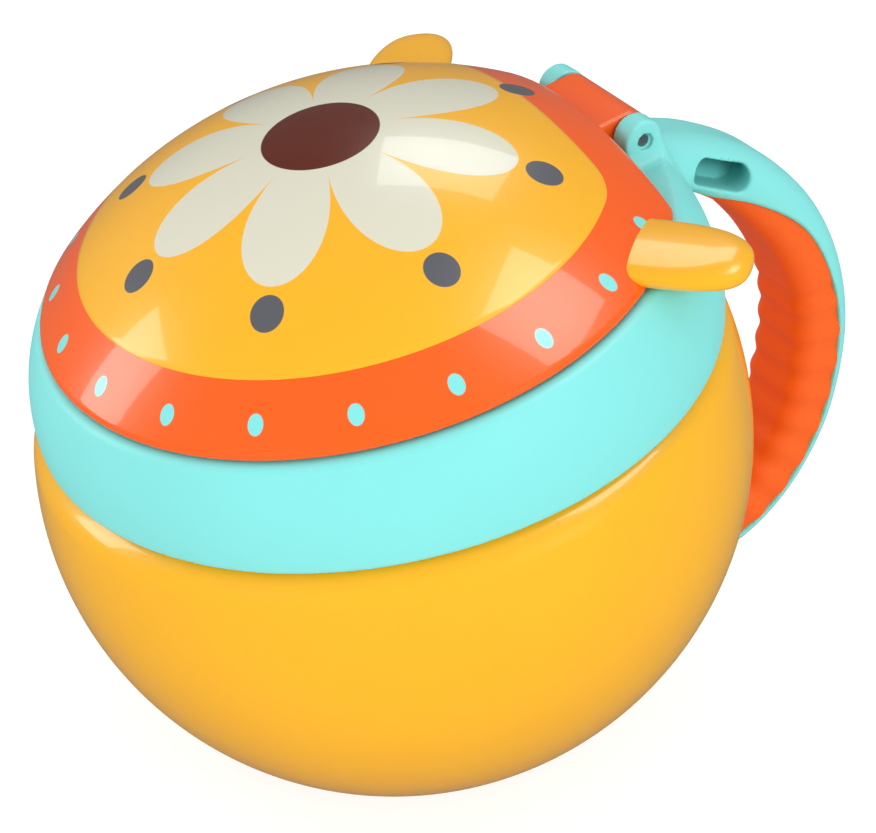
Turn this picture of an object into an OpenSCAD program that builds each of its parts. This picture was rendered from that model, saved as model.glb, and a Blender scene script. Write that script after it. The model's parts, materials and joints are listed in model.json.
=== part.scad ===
// Toddler snack container: a ball shaped bowl, a turning collar with a loop handle,
// a flip lid on a hinge pin, and soft flaps across the mouth.
// Millimetres, Z up, origin in the middle of the flat that the bowl stands on.
// The front is -Y, and the hinge and the handle are at +Y.

/* [Bowl] */
// Diameter of the ball
ball_d = 108; // [100:1:118]
// Diameter of the flat that the bowl stands on
base_d = 48; // [32:1:54]
// Wall of the bowl
bowl_wall = 2.4; // [1.6:0.1:3.2]
// Height of the shoulder above the middle of the ball, along the neck
shoulder_z = 16.2; // [13:0.2:19]
// Rounding of the shoulder
shoulder_r = 6; // [4:0.5:8]
// Height of the neck above the shoulder
neck_h = 8.8; // [7.5:0.1:9.4]
// Lean of the neck and collar toward the front, in degrees
neck_tilt = 11.6; // [6:0.1:16]

/* [Bayonet] */
// Number of lugs on the neck, and on the collar
lug_count = 4; // [3:1:5]
// How far each lug stands out from its wall
lug_reach = 2; // [1:0.1:2.4]
// Height of each lug along the neck
lug_h = 2.4; // [1.6:0.1:2.8]
// Width of each lug in degrees
lug_angle = 32; // [20:1:34]
// Gap between turning faces of the neck and the collar
turn_gap = 0.35; // [0.3:0.05:0.5]

/* [Collar] */
// Diameter of the collar at its widest
collar_d = 103; // [92:0.5:106]
// Depth of the collar from its widest line in to the neck
neck_step = 8.5; // [7:0.1:10]
// Height of the collar along the neck, at its middle
collar_h = 16.7; // [15.5:0.1:19]
// Depth of its widest line below the lid
collar_belly = 13.8; // [11:0.2:16]
// Thickness of the deck round the mouth
deck_t = 2; // [1.4:0.1:2.4]
// Ledge of the deck that shows round the lid
deck_ledge = 0.4; // [0.2:0.05:0.8]
// Width of the deck under the lid, from the mouth to the edge of the lid
mouth_step = 9.4; // [8.6:0.1:11]
// Lean of the lid toward the front, in degrees
lid_tilt = 14.1; // [13:0.1:15.5]

/* [Hinge] */
// Distance of the hinge pin in from the edge of the lid
pin_step = 3; // [2.4:0.1:3.4]
// Height of the hinge pin above the foot of the lid
pin_z = 2.8; // [2.6:0.1:3.4]
// Diameter of the hinge pin
pin_d = 1.8; // [1.6:0.1:3]
// Radius of the two knuckles on the collar
knuckle_r = 3.3; // [2.8:0.1:3.4]
// Width of the hinge over both knuckles
hinge_w = 24.4; // [22:0.2:28]
// Thickness of each knuckle
knuckle_w = 3.6; // [2.8:0.1:4.4]
// Depth of the recess over each end of the pin
pin_recess = 0.7; // [0.3:0.1:1.2]
// Gap at the pin and beside the knuckles
hinge_gap = 0.3; // [0.2:0.05:0.4]
// Clearance round the pin in the barrel of the lid
pin_fit = 0.05; // [0.02:0.01:0.1]
// Length over which the bracket narrows to the handle
bracket_taper = 1.3; // [0.8:0.1:2]

/* [Lid] */
// Distance of the edge of the lid in from the widest line of the collar
lid_step = 5.1; // [4:0.1:6]
// Height of the upright edge at its foot
rim_h = 0.9; // [0.6:0.1:1.6]
// Rise of the dome above that edge
dome_rise = 19.8; // [17:0.2:23]
// Wall of the lid
lid_wall = 2; // [1.6:0.1:2.6]
// How much the back of the lid is cut flat in front of the hinge
back_cut = 8.2; // [7.8:0.1:8.8]
// Gap between the lid and the collar
lid_gap = 0.35; // [0.3:0.05:0.6]
// Width of the band round the crown panel, measured level
crown_step = 7.6; // [6.4:0.2:12]
// Distance of the straight edge of the crown panel in from the flat at the back
crown_cut = 7.8; // [6:0.2:14]
// Rounding of the crown panel where it meets its straight edge
crown_corner = 10; // [4:0.5:12]
// Thickness of the crown panel
crown_t = 0.9; // [0.6:0.1:1.2]

/* [Liner] */
// Wall of the liner inside the lid
liner_wall = 1.4; // [1:0.1:1.8]
// How far its plug reaches into the mouth
plug_depth = 1.6; // [0.8:0.1:1.8]
// Clearance between the plug and the mouth
plug_fit = 0.4; // [0.3:0.05:0.6]
// Clearance between the liner and the lid
liner_fit = 0.2; // [0.1:0.05:0.4]

/* [Ears] */
// Angle of each ear from the side toward the hinge, in degrees
ear_angle = 40; // [32:0.5:46]
// Distance of the middle of each ear in from the edge of the lid
ear_step = 2.3; // [1:0.2:4]
// Height of the middle of each ear above the foot of the lid
ear_z = 1.5; // [1.3:0.1:3]
// Length of each ear
ear_len = 30.4; // [26:0.2:33]
// Width of each ear
ear_w = 15.2; // [12:0.2:17]
// Thickness of each ear
ear_t = 5; // [4.2:0.1:6]
// Droop of each ear in degrees
ear_droop = 6; // [2:0.5:7]
// Diameter of the peg that holds each ear in the lid
ear_peg_d = 2; // [1.6:0.1:2.2]

/* [Flaps] */
// Distance of the bending line of each flap in from the edge of the mouth
flap_step = 6.5; // [5:0.5:9]
// Thickness of each flap
flap_t = 1.2; // [0.8:0.1:1.6]
// Thickness of the ring that carries the flaps
ring_t = 1.8; // [1.6:0.1:2.2]
// How far that ring reaches under the deck round the mouth
ring_hold = 4.3; // [3:0.1:5]
// Width of the slits between the flaps
slit_w = 0.8; // [0.7:0.05:1.2]
// Diameter of the hole where the slits meet
star_hole_d = 4; // [2:0.5:8]

/* [Handle] */
// Width of the handle
handle_w = 16; // [13:0.5:19]
// Most distance of the back of the handle from the ball
handle_reach = 28.1; // [26:0.1:30]
// Radius of the back of the handle, seen from the side
bow_r = 44.5; // [43:0.5:46]
// Depth of the middle of that curve below the middle of the ball
bow_drop = 2.4; // [1:0.1:3.5]
// Rounding of the edges of the back of the handle
back_round = 5.8; // [3:0.2:6]
// Thickness of the handle where it is gripped
handle_t = 11; // [9.6:0.1:12]
// Thickness of its hard back
spine_t = 3.6; // [2.8:0.1:4.4]
// Depth of the hard top of the handle, by the collar
top_t = 8.8; // [8:0.1:9.6]
// Clearance of the tip of the handle from the ball
tip_gap = 2.6; // [1.5:0.1:5]
// How much narrower the grip is than the back, on each side
grip_inset = 0.7; // [0.2:0.1:1.5]
// Height of the finger ribs on the grip
rib_h = 0.7; // [0:0.1:1]
// Spacing of the finger ribs
rib_pitch = 6.5; // [5:0.1:9]
// Distance of the pocket in each side of the handle from the middle of the lid
pocket_reach = 57.9; // [57:0.1:59]
// Depth of the middle of that pocket below the foot of the lid
pocket_drop = 12.6; // [12:0.1:13.2]
// Length of that pocket
pocket_len = 11; // [8:0.2:12]
// Height of that pocket
pocket_h = 4.2; // [3:0.1:4.6]
// Depth of that pocket
pocket_deep = 6; // [3:0.2:6.5]
// Gap between the handle and the bracket of the collar
seam_gap = 0.1; // [0.05:0.05:0.3]

/* [Hidden] */
$fn = 96;
ball_r = ball_d / 2;
base_r = base_d / 2;
ball_h = sqrt(ball_r * ball_r - base_r * base_r);
collar_r = collar_d / 2;
neck_r = collar_r - neck_step;
neck_top = shoulder_z + neck_h;
lid_plane = shoulder_z + turn_gap + collar_h;
// The lugs of the neck lie near its top, and those of the collar below them
lug_edge = 0.3;
lug_start = 45;
lug_top = neck_top - lug_edge;
lug_under = lug_top - lug_h - turn_gap;
bore_r = neck_r + lug_reach + turn_gap;

lid_r = collar_r - lid_step;
deck_edge_r = lid_r + deck_ledge;
mouth_r = lid_r - mouth_step;
// The side of the collar is one arc from the deck, through its widest line, to its foot
belly_in = collar_r - deck_edge_r;
belly_r = (collar_belly * collar_belly + belly_in * belly_in) / (2 * belly_in);
deck_under = lid_gap + deck_t;
// A bead under the ring keeps it against the deck
bead_h = 0.7;
bead_reach = 0.6;
ring_r = mouth_r + ring_hold;
ring_fit = 0.05;
ring_seat_z = -deck_under - ring_fit - ring_t - ring_fit;

lid_fit = lid_tilt - neck_tilt;
lid_back = lid_r - back_cut;
pin_reach = lid_r - pin_step;
dome_top = rim_h + dome_rise;
dome_r = (lid_r * lid_r + dome_rise * dome_rise) / (2 * dome_rise);
dome_z = dome_top - dome_r;
barrel_step = 0.1;
barrel_r = knuckle_r - barrel_step;
barrel_w = hinge_w - 2 * knuckle_w - 2 * hinge_gap;
plate_top = pin_z + barrel_r;
plate_foot = 0.6;
pin_press = 0.02;
pin_hole_r = pin_d / 2 + pin_press;
recess_rim = 0.4;
crown_r = lid_r - crown_step;
crown_back = lid_back - crown_cut;
inlay_gap = 0.05;
corner_count = 6;
corner_y = crown_back - crown_corner;
corner_mid = [sqrt((crown_r - crown_corner) * (crown_r - crown_corner) - corner_y * corner_y), corner_y];
corner_turn = atan2(corner_mid[1], corner_mid[0]);

plug_r = mouth_r - plug_fit;
liner_r = dome_r - lid_wall - liner_fit;
liner_back = lid_back - lid_wall - liner_fit;
flange_z = 0.1;
peg_len = 8;
peg_rise = 0.2;
peg_gap = 0.05;
ear_arch = 0.34;
ear_reach = lid_r - ear_step;

flap_count = 6;
flap_root = mouth_r - flap_step;
flap_z = -deck_under - ring_fit - ring_t / 2;
root_gap = 0.3;
hole_root = flap_root + flap_t / 2 + root_gap;

// The bracket runs from the knuckles back to the seam with the handle
bracket_side = pin_reach + knuckle_r;
bracket_end = bracket_side + bracket_taper;
bracket_top = pin_z - 0.2;
bracket_drop = 4.7;
web_t = 0.5;
web_start = bracket_end - web_t;
swing_gap = 1.2 * hinge_gap;
curve_count = 8;

big = 400;

// The back of the handle follows a round bow from the collar, and near its tip it turns to the ball.
// Each row is an angle up from level at the middle of the ball, the share of the bow's distance from
// the ball, how far the hard part thickens there toward the hard top, and the share of the thickness.
HANDLE_ROWS = [[52, 1, 0.5, 0.55], [47.5, 1, 0.6, 0.6], [43.5, 1, 0.73, 0.67], [37, 1, 1, 0.8],
    [28.7, 1, 0.69, 0.89], [19, 1, 0.25, 0.945], [10, 1, 0.1, 0.95], [1, 1, 0, 1], [-8, 1, 0, 1],
    [-15.5, 1, 0, 0.96], [-23, 0.98, 0, 0.92], [-30, 0.9, 0, 0.88], [-36, 0.66, -0.1, 0.58]];
bow_over = 0.8;
bow_mid = [ball_r + handle_reach - bow_r, -bow_drop];
tip_share = 0.56;
tip_angle = -42;
tip_r = 3.1;
tip_turn = 50;
pocket_slant = -20;

// Places

module at_ball() translate([0, 0, ball_h]) children();

module on_neck() at_ball() rotate([neck_tilt, 0, 0]) children();

module on_lid() on_neck() translate([0, 0, lid_plane]) rotate([lid_fit, 0, 0]) children();

module across(width) translate([-width / 2, 0, 0]) rotate([90, 0, 90]) linear_extrude(width) children();

module ring_of(r_in, r_out, z0, z1) {
    rotate_extrude() translate([r_in, z0]) square([r_out - r_in, z1 - z0]);
}

// The right half of a disc that is cut level at height top, with that corner rounded
module half_disc(r, top, round_r) {
    cz = top - round_r;
    cx = sqrt((r - round_r) * (r - round_r) - cz * cz);
    k = 2 * r / (r - round_r);
    difference() {
        intersection() {
            circle(r);
            translate([0, -2 * r]) square([2 * r, 2 * r + top]);
        }
        difference() {
            polygon([[cx, cz], [cx * k, cz * k], [cx, r * k]]);
            translate([cx, cz]) circle(round_r);
        }
    }
}

module lugs(r_in, r_out, z0, z1) {
    for (i = [0:lug_count - 1])
        rotate([0, 0, i * 360 / lug_count + lug_start - lug_angle / 2])
            rotate_extrude(angle = lug_angle) translate([r_in, z0]) square([r_out - r_in, z1 - z0]);
}

// Bowl

module bowl() color("gold") {
    difference() {
        on_neck() difference() {
            union() {
                rotate_extrude() half_disc(ball_r, shoulder_z, shoulder_r);
                cylinder(r = neck_r, h = neck_top);
                lugs(neck_r - 1, neck_r + lug_reach, lug_top - lug_h, lug_top);
            }
            rotate_extrude() half_disc(ball_r - bowl_wall, shoulder_z - bowl_wall, shoulder_r - bowl_wall);
            cylinder(r = neck_r - bowl_wall, h = neck_top + 1);
        }
        translate([0, 0, -big / 2]) cube([big, big, big], center = true);
    }
    // The floor keeps the bowl's wall where the base is cut flat
    intersection() {
        at_ball() sphere(ball_r - bowl_wall / 2);
        cylinder(r = base_r + bowl_wall, h = bowl_wall);
    }
}

// Collar

// The round of the collar's side, grown all round
module collar_side(grow) rotate_extrude() translate([collar_r - belly_r, -collar_belly]) circle(belly_r + grow);

module collar_outside() {
    rotate_extrude() intersection() {
        translate([collar_r - belly_r, -collar_belly]) circle(belly_r);
        translate([0, -big]) square([collar_r + 1, big - lid_gap]);
    }
}

// Side outline of the bracket with its knuckle, in the lid's frame
module bracket_outline() {
    translate([pin_reach, pin_z]) circle(knuckle_r);
    polygon([[pin_reach - knuckle_r, pin_z], [pin_reach - knuckle_r, -collar_belly],
        [bracket_end, -collar_belly], [bracket_end, bracket_top - bracket_drop], [bracket_side, pin_z]]);
}

// The bracket narrows from the knuckles to the width of the handle
module bracket() intersection() {
    across(hinge_w) bracket_outline();
    translate([0, 0, -collar_h]) linear_extrude(2 * collar_h)
        polygon([[-hinge_w / 2, 0], [hinge_w / 2, 0], [hinge_w / 2, bracket_side],
            [handle_w / 2, bracket_end], [-handle_w / 2, bracket_end], [-hinge_w / 2, bracket_side]]);
}

module collar_ring() color("paleturquoise") difference() {
    union() {
        difference() {
            on_lid() {
                collar_outside();
                bracket();
            }
            on_neck() {
                translate([0, 0, shoulder_z + turn_gap - big / 2]) cube([big, big, big], center = true);
                cylinder(r = bore_r, h = neck_top + turn_gap);
            }
            on_lid() {
                cylinder(r = mouth_r, h = 2 * collar_h, center = true);
                ring_of(0, ring_r + ring_fit, ring_seat_z, -deck_under);
                ring_of(0, ring_r - bead_reach, ring_seat_z - bead_h - 1, ring_seat_z);
            }
            on_lid() intersection() {
                translate([0, 0, -collar_h]) cylinder(r = bore_r - 1, h = collar_h + ring_seat_z - bead_h);
                translate([0, 0, -collar_h]) cylinder(r = ring_r + 1, h = collar_h);
            }
        }
        on_neck() lugs(neck_r + turn_gap, bore_r + 1, lug_under - lug_h, lug_under);
    }
    on_lid() {
        // Room for the barrel of the lid between the knuckles, also while it swings
        across(barrel_w + 2 * hinge_gap) {
            translate([pin_reach, pin_z]) circle(barrel_r + swing_gap);
            translate([lid_back - 1, -lid_gap]) square([web_start - lid_back + 1, collar_h]);
        }
        across(hinge_w + 1) translate([pin_reach, pin_z]) circle(pin_hole_r);
        for (side = [-1, 1])
            translate([side * hinge_w / 2, pin_reach, pin_z]) rotate([0, 90, 0])
                cylinder(r = pin_d / 2 + recess_rim, h = 2 * pin_recess, center = true);
    }
}

module hinge_pin() color("silver") on_lid()
    across(hinge_w - 2 * pin_recess) translate([pin_reach, pin_z]) circle(pin_d / 2);

// Handle

function catmull(a, b, c, d, t) = 0.5 * (2 * b + (c - a) * t + (2 * a - 5 * b + 4 * c - d) * t * t
    + (3 * b - a - 3 * c + d) * t * t * t);
// Distance of the bow from the ball at an angle up from level
function bow_at(angle) = let (along = bow_mid * [cos(angle), sin(angle)])
    along + sqrt(along * along - bow_mid * bow_mid + bow_r * bow_r) - ball_r;
// The outline stands a little outside the bow where the rounded bow cuts it
function over(row) = row[1] < 1 ? 0 : bow_over;
function polar(row) = (ball_r + row[1] * bow_at(row[0]) + over(row)) * [cos(row[0]), sin(row[0])];
// A point of the lid's frame, given as distance toward the hinge and height, seen from the ball's middle
function from_lid(h, z) = [h * cos(lid_tilt) - z * sin(lid_tilt) - lid_plane * sin(neck_tilt),
    h * sin(lid_tilt) + z * cos(lid_tilt) + lid_plane * cos(neck_tilt)];
tip_mid = (ball_r + tip_gap + tip_r) * [cos(tip_angle), sin(tip_angle)];
tip_back = tip_mid + tip_r * [cos(tip_angle - tip_turn), sin(tip_angle - tip_turn)];

function hard_depth(share) = spine_t + share * (top_t - spine_t);
knots = concat([for (row = HANDLE_ROWS) let (p = polar(row))
    [p[0], p[1], hard_depth(row[2]) + over(row), row[3] * handle_t + over(row)]],
    [[tip_back[0], tip_back[1], spine_t, tip_share * handle_t]]);
last_knot = len(knots) - 1;
back_line = [for (i = [1:last_knot - 1], j = [0:curve_count - 1])
    catmull(knots[i - 1], knots[i], knots[i + 1], knots[min(i + 2, last_knot)], j / curve_count)];
last_back = len(back_line) - 1;
function spot(i) = [back_line[i][0], back_line[i][1]];
function way(i) = spot(min(i + 1, last_back)) - spot(max(i - 1, 0));
function inward(i) = [way(i)[1], -way(i)[0]] / norm(way(i));
function below(i, depth) = spot(i) + depth * inward(i);
function run(i) = i == 0 ? 0 : run(i - 1) + norm(spot(i) - spot(i - 1));

// The grip lies under the hard part, from where that thins at the top to near the tip
grip_from = 2 * curve_count;
rib_from = 5 * curve_count;
grip_to = last_back - curve_count;
function rib(i) = i < rib_from ? 0 : rib_h * (0.5 - 0.5 * cos(360 * run(i) / rib_pitch));

module back_outline() {
    polygon(concat([for (i = [0:last_back]) spot(i)],
        [for (turn = [tip_turn + 20:20:290])
            tip_mid + tip_r * [cos(tip_angle - turn), sin(tip_angle - turn)]],
        [for (i = [grip_to:-1:0]) below(i, back_line[i][2])]));
}

module grip_outline() {
    polygon(concat([for (i = [grip_from:grip_to]) below(i, back_line[i][2])],
        [for (i = [grip_to:-1:grip_from + 1]) below(i, back_line[i][3] - rib(i))]));
}

// A disc across the handle with rounded edges, whose rim is the back of the handle
module bow() at_ball() translate([0, bow_mid[0], bow_mid[1]]) rotate([0, 90, 0]) rotate_extrude() difference() {
    translate([0, -handle_w / 2]) square([bow_r, handle_w]);
    for (side = [-1, 1]) translate([bow_r - back_round, side * (handle_w / 2 - back_round)]) difference() {
        translate([0, (side - 1) / 2 * (back_round + 1)]) square(back_round + 1);
        circle(back_round);
    }
}

module handle_frame() color("paleturquoise") difference() {
    intersection() {
        at_ball() across(handle_w + 2) back_outline();
        bow();
    }
    on_lid() {
        collar_side(seam_gap);
        across(handle_w + 2) translate([0, -2 * collar_h]) square([bracket_end + seam_gap, 3 * collar_h]);
    }
    for (side = [-1, 1])
        at_ball() translate([side * (handle_w / 2 - pocket_deep / 2 + 0.5), 0, 0])
            across(pocket_deep + 1) pocket_outline();
}

module pocket_outline() {
    translate(from_lid(pocket_reach, -pocket_drop)) rotate(pocket_slant) {
        square([pocket_len - pocket_h, pocket_h], center = true);
        for (side = [-1, 1]) translate([side * (pocket_len - pocket_h) / 2, 0]) circle(pocket_h / 2);
    }
}

module handle_grip() color("orangered") at_ball() across(handle_w - 2 * grip_inset) grip_outline();

// Lid

module dome(r) translate([0, 0, dome_z]) sphere(r);

module behind(h) translate([-big / 2, h, -big / 2]) cube([big, big, big]);

// One rounded corner of the crown panel, from just outside its round edge to its straight edge
function crown_corner_points(grow) = [for (i = [0:corner_count])
    let (turn = corner_turn + i * (90 - corner_turn) / corner_count, out = [cos(turn), sin(turn)])
    i == 0 ? (crown_r + 2 * grow + inlay_gap) * out : corner_mid + (crown_corner + grow) * out];

// The crown panel seen from above
module crown_plan(grow) {
    corner = crown_corner_points(grow);
    side = 2 * crown_r * [cos(corner_turn), sin(corner_turn)];
    intersection() {
        circle(crown_r + grow);
        polygon(concat([[big, -big], side], corner,
            [for (i = [corner_count:-1:0]) [-corner[i][0], corner[i][1]]],
            [[-side[0], side[1]], [-big, -big]]));
    }
}

module lid_shell() color("darkorange") on_lid() difference() {
    union() {
        difference() {
            intersection() {
                dome(dome_r);
                cylinder(r = lid_r, h = dome_top + 1);
            }
            difference() {
                intersection() {
                    dome(dome_r - lid_wall);
                    translate([0, 0, -1]) cylinder(r = lid_r - lid_wall, h = dome_top);
                }
                behind(lid_back - lid_wall);
            }
            behind(lid_back);
        }
        across(barrel_w) {
            translate([pin_reach, pin_z]) circle(barrel_r);
            translate([lid_back - 1, plate_foot]) square([pin_reach - lid_back + 1, plate_top - plate_foot]);
        }
    }
    difference() {
        linear_extrude(dome_top + 1) crown_plan(inlay_gap);
        dome(dome_r - crown_t - inlay_gap);
    }
    across(barrel_w + 1) translate([pin_reach, pin_z]) circle(pin_d / 2 + pin_fit);
    for (side = [-1, 1]) ear_frame(side) ear_peg(peg_gap);
}

module crown_panel() color("gold") on_lid() intersection() {
    linear_extrude(dome_top + 1) crown_plan(0);
    difference() {
        dome(dome_r);
        dome(dome_r - crown_t);
    }
}

// A thin dome inside the lid, with a flange at its foot and a plug that reaches into the mouth
module lid_liner() color("white") on_lid() difference() {
    union() {
        difference() {
            intersection() {
                dome(liner_r);
                union() {
                    cylinder(r = plug_r, h = dome_top);
                    translate([0, 0, flange_z]) cylinder(r = lid_r - lid_wall - liner_fit, h = liner_wall);
                }
            }
            behind(liner_back);
        }
        translate([0, 0, -plug_depth]) cylinder(r = plug_r, h = plug_depth);
    }
    intersection() {
        dome(liner_r - liner_wall);
        translate([0, 0, -plug_depth - 1]) cylinder(r = plug_r - liner_wall, h = dome_top);
    }
}

// Ears

module ear_frame(side) mirror([side < 0 ? 1 : 0, 0, 0]) rotate([0, 0, ear_angle]) children();

module ear_peg(grow) translate([lid_r - lid_wall, 0, ear_z + peg_rise]) rotate([0, 90, 0])
    cylinder(r = ear_peg_d / 2 + grow, h = peg_len);

// A pebble: round across and drawn in to both ends, pressed flat between two arches
module ear_pebble() {
    side_drop = ear_arch * ear_t;
    across_r = (ear_w * ear_w / 4 + side_drop * side_drop) / (2 * side_drop);
    intersection() {
        rotate([0, 90, 0]) rotate_extrude()
            polygon([for (turn = [-90:15:90]) [ear_w / 2 * cos(turn), ear_len / 2 * sin(turn)]]);
        translate([0, 0, ear_t / 2 - across_r]) rotate([0, 90, 0])
            cylinder(r = across_r, h = ear_len + ear_t, center = true);
        translate([0, 0, across_r - ear_t / 2]) rotate([0, 90, 0])
            cylinder(r = across_r, h = ear_len + ear_t, center = true);
    }
}

module ear(side) on_lid() ear_frame(side) {
    difference() {
        translate([ear_reach, 0, ear_z]) rotate([0, ear_droop, 0]) ear_pebble();
        dome(dome_r + peg_gap);
        translate([0, 0, -ear_w]) cylinder(r = lid_r + peg_gap, h = ear_w + rim_h);
        rotate([0, 0, -ear_angle]) collar_side(lid_gap);
    }
    ear_peg(0);
}

module ear_left() color("gold") ear(-1);

module ear_right() color("gold") ear(1);

// Flaps

module flap_ring() color("orange") on_lid() difference() {
    translate([0, 0, flap_z - ring_t / 2]) cylinder(r = ring_r, h = ring_t);
    translate([0, 0, flap_z])
        cylinder(r = hole_root / cos(180 / flap_count), h = 2 * ring_t, center = true, $fn = flap_count);
}

module flap(i) on_lid() translate([0, 0, flap_z]) rotate([0, 0, (i - 1) * 360 / flap_count - 90])
    difference() {
        intersection() {
            union() {
                translate([0, -flap_root, -flap_t / 2]) cube([flap_root, 2 * flap_root, flap_t]);
                translate([flap_root, 0, 0]) rotate([90, 0, 0])
                    cylinder(r = flap_t / 2, h = 2 * flap_root, center = true);
            }
            translate([slit_w, 0, -flap_t]) linear_extrude(2 * flap_t)
                polygon([[0, 0], [big * cos(30), -big * sin(30)], [big * cos(30), big * sin(30)]]);
        }
        cylinder(r = star_hole_d / 2, h = 2 * ring_t, center = true);
    }

module flap_1() color("orange") flap(1);

module flap_2() color("orange") flap(2);

module flap_3() color("orange") flap(3);

module flap_4() color("orange") flap(4);

module flap_5() color("orange") flap(5);

module flap_6() color("orange") flap(6);

bowl();
collar_ring();
handle_frame();
handle_grip();
hinge_pin();
flap_ring();
flap_1();
flap_2();
flap_3();
flap_4();
flap_5();
flap_6();
lid_shell();
crown_panel();
lid_liner();
ear_left();
ear_right();
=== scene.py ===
"""The looks of a toddler snack container with a flip lid, a turning collar and a loop handle.

Lengths are in millimetres while a piece is shaped, and in metres once it is a mesh.
"""

import json
import math

import bmesh
import bpy
import numpy as np
from bpy.props import FloatProperty, FloatVectorProperty, PointerProperty
from mathutils import Matrix, Vector


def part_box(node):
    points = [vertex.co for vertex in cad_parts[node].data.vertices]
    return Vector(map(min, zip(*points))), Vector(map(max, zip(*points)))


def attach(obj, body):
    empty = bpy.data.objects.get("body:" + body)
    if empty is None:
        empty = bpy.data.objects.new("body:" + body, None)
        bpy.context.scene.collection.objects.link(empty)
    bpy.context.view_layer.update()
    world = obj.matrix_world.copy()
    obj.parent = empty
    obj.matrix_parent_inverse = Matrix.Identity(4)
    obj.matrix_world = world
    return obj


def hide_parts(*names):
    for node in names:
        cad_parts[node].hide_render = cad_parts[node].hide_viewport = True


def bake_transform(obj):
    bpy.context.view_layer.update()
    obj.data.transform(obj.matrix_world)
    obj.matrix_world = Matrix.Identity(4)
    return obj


bl_info = {
    "name": "Snack container",
    "version": (1, 0, 0),
    "blender": (4, 5, 0),
    "location": "View3D > Sidebar > Container",
    "description": "Builds the pieces and finishes of a toddler snack container",
    "category": "Object",
}

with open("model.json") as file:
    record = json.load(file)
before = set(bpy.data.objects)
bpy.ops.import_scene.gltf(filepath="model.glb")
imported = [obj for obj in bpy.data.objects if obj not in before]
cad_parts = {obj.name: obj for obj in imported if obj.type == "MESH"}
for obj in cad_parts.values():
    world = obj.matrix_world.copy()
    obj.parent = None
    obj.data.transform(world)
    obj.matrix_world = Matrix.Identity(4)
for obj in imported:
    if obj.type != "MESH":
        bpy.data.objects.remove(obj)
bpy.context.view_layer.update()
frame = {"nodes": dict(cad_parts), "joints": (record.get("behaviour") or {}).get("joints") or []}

MM = 0.001
JOINTS = {joint["name"]: joint for joint in frame["joints"]}
FLAP_COUNT = sum(name.startswith("flap_") for name in JOINTS)
FLAP_DROP = 3.3


def srgb(red, green, blue):
    """A colour given as it looks on a screen, 0 to 255, as the linear values that shaders use."""
    return tuple(
        c / 12.92 if c <= 0.04045 else ((c + 0.055) / 1.055) ** 2.4
        for c in (red / 255, green / 255, blue / 255)
    )


# Settings that a user would change


def length(name, millimetres, description):
    return FloatProperty(
        name=name, description=description, default=millimetres * MM, min=0.0, unit="LENGTH"
    )


def colour(name, default, description):
    return FloatVectorProperty(
        name=name, description=description, default=default, size=3, min=0, max=1, subtype="COLOR"
    )


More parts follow.
